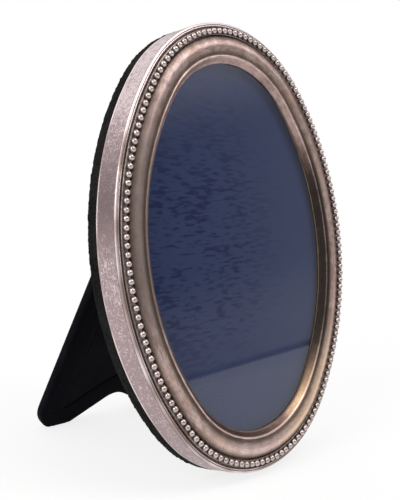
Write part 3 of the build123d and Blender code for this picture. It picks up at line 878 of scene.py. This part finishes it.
# %% [markdown]
# ## Floor, light and room
# Metal and glass show what stands round them more than their own colour. The frame stands on white
# paper in a white studio. Its front mirrors a dim room with a soft window up on the right, which
# lies on the band as a highlight, and two dark sides, one behind the camera and one far right. The
# room is made up to give such reflections. To rays that only look, the background is plain white;
# the floor adds a share of its own white for them, and keeps a shadow.

# %% Paper floor
FLOOR_HALF = 4.0
floor_mesh = bpy.data.meshes.new("paper_floor")
FLOOR_DROP = 0.05 * MM
floor_corners = [(x * FLOOR_HALF, y * FLOOR_HALF, -FLOOR_DROP)
                 for x, y in ((-1, -1), (1, -1), (1, 1), (-1, 1))]
floor_mesh.from_pydata(floor_corners, [], [(0, 1, 2, 3)])
floor = bpy.data.objects.new("paper_floor", floor_mesh)
bpy.context.scene.collection.objects.link(floor)

paper, surface = open_finish("white_paper")
fibres = grain(place_on(), 6 * MM, detail=3)
dress(surface, Base_Color=blend(fibres, (0.90, 0.90, 0.90), (0.93, 0.93, 0.93)), Roughness=0.9)


def looking():
    """One for rays that look at the background: from the camera, mirrors and glass."""
    rays = [Shade.node("LightPath", output=kind) for kind in
            ("Is Camera Ray", "Is Glossy Ray", "Is Transmission Ray")]
    return Shade.maths("MAXIMUM", Shade.maths("MAXIMUM", rays[0], rays[1]), rays[2])


SHADOW_SHARE = 0.2
MIRRORED_SHARE = 0.25
mirrored = Shade.node("LightPath", output="Is Glossy Ray")
away = Shade.node("VectorMath", {"operation": "LENGTH"}, {0: place_on()}, output="Value")
shadow_share = SHADOW_SHARE + (MIRRORED_SHARE - SHADOW_SHARE) * mirrored
own_white = 1 - shadow_share * (1 - step(away, 0.1, 0.32))
glow = Shade.node("Emission", sockets={"Color": (1, 1, 1), "Strength": 1.0})
shown = Shade.node("MixShader", sockets={0: own_white * looking(), 1: Shade(surface.outputs[0]), 2: glow})
Shade.tree.links.new(shown.socket, Shade.tree.nodes["Material Output"].inputs["Surface"])
paint(paper, floor)

# %% World: white studio, dim towards the camera
WINDOW_LIGHT = 2.3
BEHIND_CAMERA, FAR_RIGHT = (-0.357, -0.862, 0.36), (0.900, 0.240, 0.36)
DARK_SIDES = (
    (BEHIND_CAMERA, 0.70, 0.86, (0.20, 0.19, 0.18)),
    (FAR_RIGHT, 0.73, 0.87, (0.10, 0.09, 0.09)),
)
world = bpy.data.worlds.new("studio")
bpy.context.scene.world = world
world.use_nodes = True
Shade.tree = world.node_tree
direction = Shade.node("TexCoord", output="Generated")
parts = Shade.node("SeparateXYZ", sockets={0: direction})
across_share, depth_share, height_share = [Shade(parts.socket.node.outputs[axis]) for axis in "XYZ"]
window = 0.13 + 0.34 * step(across_share, 0.68, 0.88)
window = window + (0.8 - window) * step(height_share, 0.24, 0.50)
pane_light = step(height_share, 0.28, 0.47) * (1 - step(height_share, 0.58, 0.80))
pane_light = pane_light * step(across_share, 0.3, 0.55)
window = window + (WINDOW_LIGHT - window) * pane_light
window = window + 0.24 * (1 - step(height_share, 0.05, 0.13))
front_share = 0.2 * across_share - 0.98 * depth_share
studio_colour = blend(step(front_share, 0.2, 0.45), (0.95, 0.95, 0.96),
                      Shade.node("CombineColor", sockets={0: window, 1: window, 2: 1.06 * window}))
for (to_side, to_rear, rise), wide, narrow, shade in DARK_SIDES:
    facing = to_side * across_share + to_rear * depth_share + rise * height_share
    studio_colour = blend(step(facing, wide, narrow), studio_colour, shade)
low_share = 1 - step(height_share, 0.18, 0.42)
skirt = low_share * step(depth_share, 0.0, 0.35) * step(-1 * across_share, 0.15, 0.5)
studio_colour = blend(skirt, studio_colour, (0.08, 0.07, 0.07))
paper_edge = height_share - 0.068 * across_share + 0.0448
studio_colour = blend(1 - step(paper_edge, 0.002, 0.010), studio_colour, (0.20, 0.20, 0.22))
studio_colour = blend(1 - step(paper_edge, -0.003, 0.001), studio_colour, (0.9, 0.9, 0.9))
room = Shade.node("Background", sockets={"Color": studio_colour, "Strength": 1.0})
white = Shade.node("Background", sockets={"Color": (1, 1, 1), "Strength": 1.0})
rays = [Shade.node("LightPath", output=kind) for kind in ("Is Camera Ray", "Is Transmission Ray")]
seen = Shade.node("MixShader", sockets={0: Shade.maths("MAXIMUM", *rays), 1: room, 2: white})
Shade.tree.links.new(seen.socket, Shade.tree.nodes["World Output"].inputs["Surface"])
bpy.context.scene.view_settings.view_transform = "Standard"
print("the studio has", len(world.node_tree.nodes), "nodes")

# %% Soft lamps
def softbox(name, place, aim, size, power, colour):
    """A square area lamp that points at a place."""
    lamp = bpy.data.lights.new(name, "AREA")
    lamp.size = size
    lamp.energy = power
    lamp.color = colour
    box = bpy.data.objects.new(name, lamp)
    bpy.context.scene.collection.objects.link(box)
    box.location = place
    box.rotation_euler = (Vector(aim) - Vector(place)).to_track_quat("-Z", "Y").to_euler()
    print(name, "is", round((Vector(aim) - Vector(place)).length, 2), "m away")


MIDDLE = (0, -0.02, 0.075)
softbox("left_box", (-0.85, -0.05, 0.55), MIDDLE, 0.5, 4.6, (1.0, 0.97, 0.95))
softbox("upper_front_box", (0.10, -0.50, 0.98), MIDDLE, 0.5, 4.0, (1.0, 0.95, 0.90))
